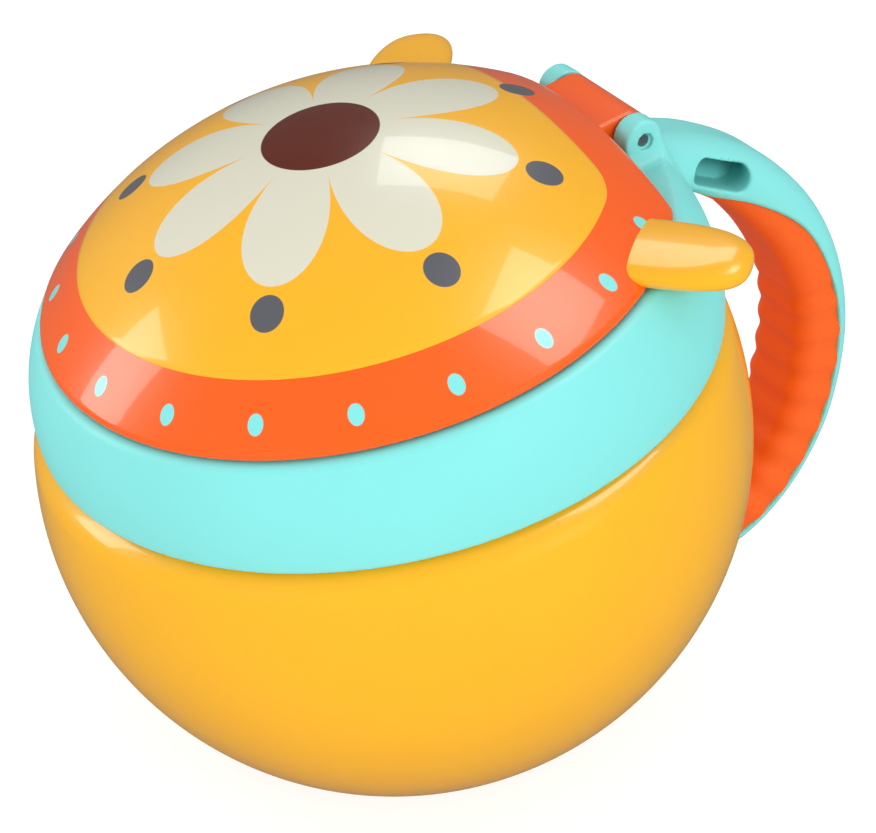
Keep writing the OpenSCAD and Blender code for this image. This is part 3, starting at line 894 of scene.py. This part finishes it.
def bracket_form(s):
    """The bracket with the hinge's two knuckles, narrowing back to the handle."""
    side = PIN_Y + s.knuckle_r
    end = side + s.bracket_taper
    front, foot = PIN_Y - s.knuckle_r, -s.collar_belly
    top = (end, PIN_Z - BRACKET_DROP)
    web = polygon([(front, PIN_Z), (front, foot), (end, foot), top, (side, PIN_Z)])
    half, narrow = s.hinge_w / 2, s.handle_w / 2
    slope = np.array([s.bracket_taper, half - narrow]) / math.hypot(s.bracket_taper, half - narrow)

    def taper(p):
        return (np.abs(p[..., 0]) - half) * slope[0] + (LID.into(p)[..., 1] - side) * slope[1]

    solid = across(LID, disc((PIN_Y, PIN_Z), s.knuckle_r) | web, half, 0.45).met(Form(taper), 1.6)
    ends = Form(lambda p: half - RECESS_DEEP - np.abs(p[..., 0]))
    recess = across(LID, disc((PIN_Y, PIN_Z), RECESS_R), half + 1) & ends
    hole = across(LID, disc((PIN_Y, PIN_Z), PIN_HOLE), half + 1)
    return solid.cut(recess, 0.2) - hole


# Along the handle: the angle up from level at the ball's middle, the share of the bow's distance
# from the ball, how far the hard part thickens toward the hard top, and the share of the thickness
HANDLE_ROWS = (
    (52, 1, 0.5, 0.55), (47.5, 1, 0.6, 0.6), (43.5, 1, 0.73, 0.67), (37, 1, 1, 0.8),
    (28.7, 1, 0.69, 0.89), (19, 1, 0.25, 0.945), (10, 1, 0.1, 0.95), (1, 1, 0, 1), (-8, 1, 0, 1),
    (-15.5, 1, 0, 0.96), (-23, 0.98, 0, 0.92), (-30, 0.9, 0, 0.88), (-36, 0.66, -0.1, 0.58),
)
TIP_ANGLE, TIP_TURN, TIP_SHARE = -42, 50, 0.56
CURVE_PARTS = 8
SEAM_KNOT, RIB_KNOT = 3, 6
RIB_DEPTH = 0.7
POCKET_SPOT, POCKET_SLANT = (57.9, -12.6), -20
# Points far off that close the side on which the handle lies of its back, and of its inside
BEFORE_BACK = [(10, -20), (10, 30)]
BEHIND_INSIDE = [(41, -90), (130, -90), (130, 90), (20, 90)]
FILLET = 2.6


def along_curve(knots, parts):
    """Points on a smooth curve through knots, from the second knot to the last."""
    knots = np.vstack([knots, knots[-1]])
    a, b, c, d = (knots[k : len(knots) - 3 + k, None] for k in range(4))
    t = (np.arange(parts) / parts)[None, :, None]
    bend, twist = 2 * a - 5 * b + 4 * c - d, 3 * b - a - 3 * c + d
    curve = 0.5 * (2 * b + (c - a) * t + bend * t * t + twist * t**3)
    return np.vstack([curve.reshape(-1, knots.shape[1]), knots[-1:]])


def direction(angle):
    return np.array([math.cos(math.radians(angle)), math.sin(math.radians(angle))])


def bow_middle(s):
    return np.array([s.ball_d / 2 + s.handle_reach - s.bow_r, -s.bow_drop])


def bow_spot(s, angle):
    """The point of the bow at an angle up from level, seen from the ball's middle."""
    way, middle = direction(angle), bow_middle(s)
    along = middle @ way
    return (along + math.sqrt(along**2 - middle @ middle + s.bow_r**2)) * way


def bow_angle(s, angle):
    """The same point's angle in radians about the middle of the bow."""
    spot = bow_spot(s, angle) - bow_middle(s)
    return math.atan2(spot[1], spot[0])


def handle_lines(s):
    """The handle's back, tip, seam and inside, seen from the side at the ball's middle."""
    ball_r = s.ball_d / 2
    knots = []
    for angle, share, hard, full in HANDLE_ROWS:
        spot = ball_r * direction(angle) * (1 - share) + bow_spot(s, angle) * share
        knots.append([*spot, s.spine_t + hard * (s.top_t - s.spine_t), full * s.handle_t])
    tip = (ball_r + s.tip_gap + s.tip_r) * direction(TIP_ANGLE)
    start = tip + s.tip_r * direction(TIP_ANGLE - TIP_TURN)
    knots.append([*start, s.spine_t, TIP_SHARE * s.handle_t])
    rows = along_curve(np.array(knots), CURVE_PARTS)
    back, hard, full = rows[:, :2], rows[:, 2:3], rows[:, 3:]
    way = np.gradient(back, axis=0)
    inward = np.stack([way[:, 1], -way[:, 0]], -1) / np.linalg.norm(way, axis=-1, keepdims=True)
    to_end, past_end = (
        np.array([tip + s.tip_r * direction(TIP_ANGLE - turn) for turn in turns])
        for turns in (range(TIP_TURN + 8, 138, 8), range(138, 250, 8))
    )
    last = len(back) - 1 - CURVE_PARTS
    inside = back + full * inward
    return {
        "back": np.vstack([back, to_end, past_end[:1]]),
        "inside": np.vstack([inside[:last], past_end[::-1]]),
        "seam": (back + hard * inward)[: last + 1],
        "outside": (back - 3 * inward),
        "tip": tip,
    }


def from_ball(flat):
    """A flat form told from the ball's middle, for shapes drawn across the object."""
    shift = np.array([0, BALL_MIDDLE.z / MM])
    return Form(lambda q: flat(q - shift))


def hard_region(lines, tip_r):
    """The side view of the hard part: past its back, down to the seam and round the tip."""
    tip = lines["tip"]
    around = [tip + (tip_r + 3) * direction(TIP_ANGLE - turn) for turn in range(TIP_TURN, 300, 15)]
    return drawn(np.vstack([lines["outside"], around, lines["seam"][::-1]]), reach=5.0)


def one_side(line, beyond, half, rounding):
    """What lies on one side of a line, as wide as twice half, and rounded along the line."""
    return across(ROW, from_ball(line_side(line, beyond)), half, rounding)


def pocket_flat(s):
    """The round-ended outline of the pocket, seen from the side in the lid's frame."""
    turn = direction(POCKET_SLANT - LID_TILT)
    reach = (s.pocket_len - s.pocket_h) / 2

    def distance(q):
        away = q - np.array(POCKET_SPOT)
        along = np.clip(away @ turn, -reach, reach)
        return np.linalg.norm(away - along[..., None] * turn, axis=-1) - s.pocket_h / 2

    return Form(distance)


def make_handle(s):
    """The bracket and the hard back of the handle with its pockets, filleted into the collar."""
    half = s.handle_w / 2
    lines = handle_lines(s)
    back = one_side(lines["back"], BEFORE_BACK, half, s.back_round)
    inside = one_side(lines["inside"], BEHIND_INSIDE, half, s.grip_round)
    region = across(ROW, from_ball(hard_region(lines, s.tip_r)), half + 4)
    body = (back & inside).met(region, 0.5)
    pocket = pocket_flat(s)
    hollow = across(LID, pocket, half + 2) - across(LID, pocket.grown(1), half - s.pocket_deep)
    core = bracket_form(s).joined(body.cut(hollow, 0.7), FILLET)
    over_bowl = side_of(NECK, 2, s.shoulder_z + s.turn_gap, -1)
    band = collar_side(s) & side_of(LID, 2, -s.lid_gap) & over_bowl
    whole = core.joined(band.grown(-0.03), FILLET) & core.grown(FILLET)
    whole = whole.cut(hinge_room(s), 0.3)
    low, high = (np.array(corner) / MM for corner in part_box("handle_frame"))
    side = s.hinge_w / 2 + 3.2
    top = LID.out((0, PIN_Y, PIN_Z))[2] + s.knuckle_r + 1.5
    low, high = (-side, BRACKET_START, low[2] - 1), (side, high[1] + 1, top)
    return add_skin("handle_arch", whole, ROW, low, high, 0.45)


def make_grip(s):
    """The soft grip, rounded round the handle's inside, with creases that run on over its sides."""
    low, high = (np.array(corner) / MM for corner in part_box("handle_grip"))
    lines = handle_lines(s)
    half = s.handle_w / 2 - s.grip_inset
    back = one_side(lines["back"], BEFORE_BACK, s.handle_w / 2, s.back_round).grown(-0.15)
    inside = one_side(lines["inside"], BEHIND_INSIDE, half, s.grip_round)
    middle = bow_middle(s) + (0, BALL_MIDDLE.z / MM)
    rows = (HANDLE_ROWS[k] for k in (1, SEAM_KNOT, RIB_KNOT, -1))
    start, first, stop, last = (bow_angle(s, row[0]) for row in rows)

    def turn_at(p):
        return np.arctan2(p[..., 2] - middle[1], p[..., 1] - middle[0])

    def ribbed(p):
        turn = turn_at(p)
        wave = 0.5 - 0.5 * np.cos(2 * math.pi * (start - turn) * s.bow_r / s.rib_pitch)
        return inside(p) + RIB_DEPTH * s.rib_h * wave * np.clip((stop - turn) / 0.08, 0, 1)

    def ends(p):
        turn = turn_at(p)
        return np.maximum(turn - first, last - turn) * (s.bow_r - s.handle_t / 2)

    hidden = across(ROW, from_ball(hard_region(lines, s.tip_r)).grown(-0.5), half + 3)
    solid = ((Form(ribbed) & back) - hidden).met(Form(ends), 0.5)
    return add_skin("handle_ribs", solid, ROW, low - 2, high + 2, 0.45)


def dome_values(s):
    radius = ((s.lid_d / 2) ** 2 + s.dome_rise ** 2) / (2 * s.dome_rise)
    return radius, s.rim_h + s.dome_rise - radius


def crown_reach(s, turn):
    """How far the crown panel reaches from the middle at an angle in radians."""
    radius, back, rounding = s.crown_d / 2, s.crown_back, s.crown_corner
    corner_y = back - rounding
    corner_x = math.sqrt((radius - rounding) ** 2 - corner_y ** 2)
    out = np.array([abs(math.cos(turn)), math.sin(turn)])
    tangent = math.atan2(corner_y, corner_x)
    angle = math.atan2(out[1], out[0])
    if angle <= tangent:
        return radius
    if angle >= math.atan2(back, corner_x):
        return back / out[1]
    middle = np.array([corner_x, corner_y])
    along = out @ middle
    return along + math.sqrt(along ** 2 - middle @ middle + rounding ** 2)


def crown_outline(s, count=240):
    """The outline of the crown panel in x and y of the lid."""
    turns = np.linspace(0, 2 * math.pi, count, endpoint=False)
    reach = np.array([crown_reach(s, t) for t in turns])
    return np.stack([np.cos(turns), np.sin(turns)], -1) * reach[:, None]


def make_lid(s):
    """The domed shell with its barrel and plate, and a shallow bed for the crown panel."""
    radius, middle = dome_values(s)
    outer = ball(LID, (0, 0, middle), radius)
    inner = ball(LID, (0, 0, middle), radius - s.lid_wall) & tube(LID, s.lid_d / 2 - s.lid_wall)
    inner = inner & side_of(LID, 1, s.lid_back - s.lid_wall)
    back = side_of(LID, 1, s.lid_back)
    shell = outer.met(tube(LID, s.lid_d / 2), 0.5).met(back, 1.2).met(side_of(LID, 2, 0, -1), 0.7)
    barrel = s.knuckle_r - BARREL_FIT
    half = s.hinge_w / 2 - s.knuckle_w - s.hinge_gap
    top = PIN_Z + barrel
    plate = polygon([(s.lid_back - 3, 0.8), (PIN_Y, 0.6), (PIN_Y, top), (s.lid_back - 3, top)])
    hinge = across(LID, disc((PIN_Y, PIN_Z), barrel) | plate, half, 0.5)
    # The bed ends a little inside the panel's edge, which stands just proud of the dome
    bed_flat = drawn(crown_outline(s), step=0.2)
    under = ball(LID, (0, 0, middle), radius - s.crown_t - 0.06)
    bed = Form(lambda p: bed_flat(LID.into(p)[..., :2]) + 1.2) - under
    solid = shell.joined(hinge, 1.0) - inner - bed
    solid = solid - across(LID, disc((PIN_Y, PIN_Z), BARREL_HOLE), half + 1)
    reach = s.lid_d / 2 + 0.8
    low, high = (-reach, -reach, -0.8), (reach, PIN_Y + barrel + 1, 23.2)
    return add_skin("lid_dome", solid, LID, low, high, 0.6)


def make_crown(s, rings=44, edge=0.12, proud=0.05):
    """The crown panel: a skin of the dome inside a rounded outline, with a soft edge."""
    radius, middle = dome_values(s)
    outline = crown_outline(s)
    levels = [(share, -proud) for share in np.linspace(0, 1, rings + 1)[1:-1]]
    levels += [(1 - edge / 40, -proud), (1 - edge / 160, edge / 3), (1, edge), (1, s.crown_t)]
    levels += [(share, s.crown_t) for share in (0.75, 0.5, 0.25)]
    bm = bmesh.new()
    loops = []
    for share, depth in levels:
        flat = outline * share
        height = middle + np.sqrt((radius - depth) ** 2 - (flat**2).sum(-1))
        loops.append([bm.verts.new(v) for v in LID.out(np.column_stack([flat, height])) * MM])
    top, foot = (
        bm.verts.new(LID.out((0, 0, middle + radius - depth)) * MM) for depth in (-proud, s.crown_t)
    )
    bridge(bm, [[foot], *loops[::-1], [top]], len(outline))
    return from_bmesh("crown_inlay", bm)


def make_liner(s, wall=1.4, plug=1.6, fit=0.2):
    """The thin dome inside the lid with its flange, and the plug that reaches into the mouth."""
    radius, middle = dome_values(s)
    plug_r = s.mouth_d / 2 - 0.4
    outer = radius - s.lid_wall - fit
    cap = ball(LID, (0, 0, middle), outer) & (
        (tube(LID, plug_r) & side_of(LID, 2, 0, -1))
        | (tube(LID, s.lid_d / 2 - s.lid_wall - fit) & between(LID, 2, 0.1, wall))
    )
    cap = cap & side_of(LID, 1, s.lid_back - s.lid_wall - fit)
    neck = tube(LID, plug_r).met(between(LID, 2, -plug, 1), 0.5)
    hollow = ball(LID, (0, 0, middle), outer - wall) & tube(LID, plug_r - wall)
    solid = (cap | neck).cut(hollow, 0.4)
    reach = s.lid_d / 2
    return add_skin("liner_dome", solid, LID, (-reach, -reach, -2.6), (reach, reach, 21.5), 0.7)


def ear_place(side, angle, reach, height, droop):
    """The frame of an ear: x along its length, z through its thickness."""
    turn = Matrix.Rotation(math.radians(angle), 4, "Z") @ Matrix.Translation((reach, 0, height))
    turn = turn @ Matrix.Rotation(math.radians(droop), 4, "Y")
    mirror = Matrix.Diagonal((side, 1, 1, 1))
    return np.array(mirror @ turn)


# An ear's angle, the distance and height of its middle, and how far it droops, in degrees
EAR_SPOT = (40.0, 44.1, 1.5, 5.8)


def make_ear(s, side, square=2.7, top_r=30.0, belly_r=14.0):
    """A puffy tab: a squarish oval from above, flat on top, full below, cut to the dome."""
    place = ear_place(side, *EAR_SPOT)
    matrix = np.linalg.inv(place)
    radius, middle = dome_values(s)
    a, b, t = s.ear_len / 2, s.ear_w / 2, s.ear_t / 2

    def pebble(p):
        q = LID.into(p) @ matrix[:3, :3].T + matrix[:3, 3]
        x, y, z = q[..., 0], q[..., 1], q[..., 2]
        plan = ((np.abs(x / a) ** square + np.abs(y / b) ** square) ** (1 / square) - 1) * b
        top = np.hypot(y, z - t + top_r) - top_r
        bottom = np.hypot(y, z + t - belly_r) - belly_r
        return soft_max(soft_max(top, bottom, 1.6), plan, 2.4)

    form = Form(pebble) - ball(LID, (0, 0, middle), radius - 1)
    form = form - (tube(LID, s.lid_d / 2 - 1) & side_of(LID, 2, s.rim_h))
    form = form - (collar_side(s).grown(s.lid_gap) & side_of(LID, 2, 0.2))
    ends = [(place @ np.array([x, 0, 0, 1]))[:3] for x in (-a, a)]
    low, high = np.min(ends, 0) - (8, 8, 5), np.max(ends, 0) + (8, 8, 5)
    name = "ear_left_tab" if side < 0 else "ear_right_tab"
    return add_skin(name, form, LID, low, high, 0.35)


def make_flap(s, index, root=30.5, tongue=1.6, star=2.0, groove_r=0.65, groove_out=0.35):
    """A soft wedge with a thin bending line, whose tongue is held in the ring."""
    turn = math.radians(index * 360 / FLAP_COUNT - 90)
    spot = np.array([math.cos(turn), math.sin(turn)])
    side = np.array([-spot[1], spot[0]])
    apex = s.slit_w
    far = root + tongue
    spread = (far - apex) * math.tan(math.pi / FLAP_COUNT)
    corners = [spot * apex, spot * far - side * spread, spot * far + side * spread]
    wedge = upright(LID, polygon(corners), s.flap_t / 2, -s.flap_drop, 0.35)
    hole = tube(LID, star)

    def groove(p):
        q = LID.into(p)
        off = np.abs(q[..., 2] + s.flap_drop) - s.flap_t / 2 - groove_out
        return np.hypot(q[..., :2] @ spot - root, off) - groove_r

    form = wedge.cut(hole, 0.3).cut(Form(groove), 0.3)
    low = np.array([*np.min(corners, 0), -s.flap_drop - s.flap_t]) - 0.6
    high = np.array([*np.max(corners, 0), -s.flap_drop + s.flap_t]) + 0.6
    piece = add_skin(f"flap_{index + 1}_petal", form, LID, low, high, 0.4, keep_normals=False)
    out = Vector(LID.axes.T @ np.array([*spot, 0]))
    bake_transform(piece)
    return piece


# Stage


def look_at(thing, place, target):
    way = Vector(target) - Vector(place)
    thing.location = place
    thing.rotation_euler = way.to_track_quat("-Z", "Y").to_euler()


# Each lamp: its name, its way from the lid, its width, height and power, and whether it shows in
# gloss or else lights the object
LAMPS = (
    ("window_left", (-0.43, 0.34, 0.80), 0.5, 0.42, 3.0, True),
    ("window_right", (0.33, 0.36, 0.83), 0.56, 0.5, 5.6, True),
    ("card_left", (-0.58, -0.74, 0.27), 0.34, 0.55, 3.4, True),
    ("fill_front", (0.30, -0.90, 0.25), 0.6, 0.6, 3.6, False),
    ("fill_side", (0.90, 0.28, 0.30), 0.5, 0.5, 4.6, False),
    ("fill_left", (-0.90, -0.30, 0.25), 0.5, 0.5, 2.4, False),
)
LAMP_TARGET = Vector((0, 0, 0.08))
LAMP_DISTANCE = 1.2


def add_softbox(name, way, width, height, power, in_gloss):
    lamp = bpy.data.lights.new(name, "AREA")
    lamp.shape = "RECTANGLE"
    lamp.size, lamp.size_y, lamp.energy = width, height, power
    thing = add_object(name, lamp)
    thing.visible_diffuse, thing.visible_glossy = not in_gloss, in_gloss
    look_at(thing, LAMP_TARGET + Vector(way).normalized() * LAMP_DISTANCE, LAMP_TARGET)


PHOTO_W, PHOTO_H = 876, 833
VIEW_AZIMUTH = math.radians(61.2)
VIEW_ELEVATION = math.radians(31.2)
VIEW_DISTANCE = 0.380
FOCAL_PIXELS = 2510
BALL_PIXEL = (393.5, 436.5)
SENSOR = 36.0


def add_camera():
    data = bpy.data.cameras.new("camera")
    data.sensor_width = SENSOR
    data.lens = FOCAL_PIXELS / PHOTO_W * SENSOR
    data.shift_x = (PHOTO_W / 2 - BALL_PIXEL[0]) / PHOTO_W
    data.shift_y = (BALL_PIXEL[1] - PHOTO_H / 2) / PHOTO_W
    camera = add_object("camera", data)
    level = math.cos(VIEW_ELEVATION)
    back = Vector((
        math.sin(VIEW_AZIMUTH) * level, -math.cos(VIEW_AZIMUTH) * level, math.sin(VIEW_ELEVATION)
    ))
    look_at(camera, BALL_MIDDLE + back * VIEW_DISTANCE, BALL_MIDDLE)
    data.clip_start, data.clip_end = 0.01, 20
    bpy.context.scene.camera = camera


def add_floor(reach=3.0):
    """A pale floor that shows white to the camera apart from the shadow on it."""
    bm = bmesh.new()
    bmesh.ops.create_grid(bm, x_segments=24, y_segments=24, size=reach)
    floor = from_bmesh("floor", bm)
    finish = Finish("floor_white", Roughness=0.9)
    finish.colour((0.85, 0.85, 0.85))
    faint = finish.node("ShaderNodeBsdfDiffuse", {}, {"Color": (0.34, 0.34, 0.34)}).outputs[0]
    glow, dim = (
        finish.node("ShaderNodeEmission", {}, {"Color": (1, 1, 1), "Strength": level}).outputs[0]
        for level in (0.8, 0.18)
    )
    white = finish.node("ShaderNodeAddShader", {}, {0: faint, 1: glow}).outputs[0]
    choices = {"Is Glossy Ray": dim, "Is Camera Ray": white}
    seen = finish.by_ray("ShaderNodeMixShader", (0, 1, 2), finish.shader.outputs[0], choices)
    finish.feed(finish.tree.nodes["Material Output"].inputs["Surface"], seen)
    floor.data.materials.append(finish.material)


def set_world(strength=0.8, in_gloss=0.2):
    """Soft light from all round, dimmer where gloss mirrors it, and white behind the object."""
    world = bpy.data.worlds.new("studio")
    world.use_nodes = True
    bpy.context.scene.world = world
    nodes = Nodes(world.node_tree)
    sky = nodes.tree.nodes["Background"].inputs
    nodes.feed(sky["Color"], (1, 1, 1))
    choices = {"Is Glossy Ray": in_gloss, "Is Transmission Ray": 1, "Is Camera Ray": 1}
    nodes.feed(sky["Strength"], nodes.by_ray("ShaderNodeMix", (0, 2, 3), strength, choices))


# Operators, one for each piece or group of like pieces


class CONTAINER_OT_stage(bpy.types.Operator):
    """Sets up the camera, the soft lamps, the floor and the white surroundings"""

    bl_idname = "container.stage"
    bl_label = "Stage"

    def execute(self, context):
        context.scene.view_settings.view_transform = "Standard"
        add_camera()
        add_floor()
        set_world()
        for lamp in LAMPS:
            add_softbox(*lamp)
        return {"FINISHED"}


class CONTAINER_OT_bowl(bpy.types.Operator):
    """Builds the ball-shaped bowl with its neck and bayonet lugs"""

    bl_idname = "container.bowl"
    bl_label = "Bowl"

    def execute(self, context):
        s, colours = settings(context)
        finish = gloss_finish("bowl_gloss", colours.yellow)
        dress(make_bowl(s), finish, "bowl", "bowl_plastic", "bowl")
        return {"FINISHED"}


class CONTAINER_OT_collar(bpy.types.Operator):
    """Builds the collar that turns on the neck"""

    bl_idname = "container.collar"
    bl_label = "Collar"

    def execute(self, context):
        s, colours = settings(context)
        finish = satin_finish("collar_satin", colours.aqua)
        dress(make_collar(s), finish, "collar", "collar_plastic", "collar_ring")
        return {"FINISHED"}


class CONTAINER_OT_handle(bpy.types.Operator):
    """Builds the handle's hard back with the hinge bracket, and its soft ribbed grip"""

    bl_idname = "container.handle"
    bl_label = "Handle"

    def execute(self, context):
        s, colours = settings(context)
        # The pocket colour is painted shade inside the handle's pockets
        finish = handle_finish("handle_satin", colours.aqua, colours.pocket, s)
        dress(make_handle(s), finish, "collar", "collar_plastic", "handle_frame")
        finish = soft_finish("grip_soft", colours.grip)
        dress(make_grip(s), finish, "collar", "grip_rubber", "handle_grip")
        return {"FINISHED"}


class CONTAINER_OT_pin(bpy.types.Operator):
    """Gives the hinge pin its steel"""

    bl_idname = "container.pin"
    bl_label = "Hinge pin"

    def execute(self, context):
        pin = frame["nodes"]["hinge_pin"]
        finish = steel_finish("pin_steel", context.scene.container_colours.steel)
        dress(pin, finish, None, "pin_steel")
        add_modifier(pin, "BEVEL", width=0.25 * MM, segments=3, limit_method="ANGLE")
        return {"FINISHED"}


class CONTAINER_OT_lid(bpy.types.Operator):
    """Builds the domed lid with its barrel, and the printed panel on its crown"""

    bl_idname = "container.lid"
    bl_label = "Lid"

    def execute(self, context):
        s, colours = settings(context)
        finish = printed_finish("lid_print", colours, colours.orange)
        dress(make_lid(s), finish, "lid", "lid_plastic", "lid_shell")
        finish = printed_finish("crown_print", colours, colours.yellow)
        dress(make_crown(s), finish, "lid", "crown_plastic", "crown_panel")
        return {"FINISHED"}


class CONTAINER_OT_liner(bpy.types.Operator):
    """Builds the liner inside the lid"""

    bl_idname = "container.liner"
    bl_label = "Liner"

    def execute(self, context):
        s, colours = settings(context)
        finish = satin_finish("liner_satin", colours.liner)
        dress(make_liner(s), finish, "lid", "liner_plastic", "lid_liner")
        return {"FINISHED"}


class CONTAINER_OT_ears(bpy.types.Operator):
    """Builds the two tabs at the sides of the lid"""

    bl_idname = "container.ears"
    bl_label = "Ears"

    def execute(self, context):
        s, colours = settings(context)
        for side, node in ((-1, "ear_left"), (1, "ear_right")):
            finish = gloss_finish(f"{node}_gloss", colours.yellow)
            dress(make_ear(s, side), finish, "lid", "ear_plastic", node)
        return {"FINISHED"}


class CONTAINER_OT_flaps(bpy.types.Operator):
    """Builds the soft flaps across the mouth and finishes the ring that holds them"""

    bl_idname = "container.flaps"
    bl_label = "Flaps"

    def execute(self, context):
        s, colours = settings(context)
        finish = soft_finish("flap_soft", colours.orange)
        ring = frame["nodes"]["flap_ring"]
        dress(ring, finish, None, "flap_rubber")
        add_modifier(ring, "BEVEL", width=0.3 * MM, segments=3, limit_method="ANGLE")
        for index in range(FLAP_COUNT):
            dress(make_flap(s, index), finish, None, "flap_rubber", f"flap_{index + 1}")
        return {"FINISHED"}


STEPS = (
    CONTAINER_OT_stage,
    CONTAINER_OT_bowl,
    CONTAINER_OT_collar,
    CONTAINER_OT_handle,
    CONTAINER_OT_pin,
    CONTAINER_OT_lid,
    CONTAINER_OT_liner,
    CONTAINER_OT_ears,
    CONTAINER_OT_flaps,
)


class CONTAINER_PT_steps(bpy.types.Panel):
    """Lists the steps that build the container"""

    bl_label = "Snack container"
    bl_space_type = "VIEW_3D"
    bl_region_type = "UI"
    bl_category = "Container"

    def draw(self, context):
        for step in STEPS:
            self.layout.operator(step.bl_idname)
        for group in (context.scene.container_sizes, context.scene.container_colours):
            for name in type(group).__annotations__:
                self.layout.prop(group, name)


CLASSES = (ContainerSizes, ContainerColours, *STEPS, CONTAINER_PT_steps)


def register():
    for cls in CLASSES:
        bpy.utils.register_class(cls)
    bpy.types.Scene.container_sizes = PointerProperty(type=ContainerSizes)
    bpy.types.Scene.container_colours = PointerProperty(type=ContainerColours)


def unregister():
    del bpy.types.Scene.container_colours
    del bpy.types.Scene.container_sizes
    for cls in reversed(CLASSES):
        bpy.utils.unregister_class(cls)


def main():
    register()
    for step in STEPS:
        group, name = step.bl_idname.split(".")
        getattr(getattr(bpy.ops, group), name)()


if __name__ == "__main__":
    main()
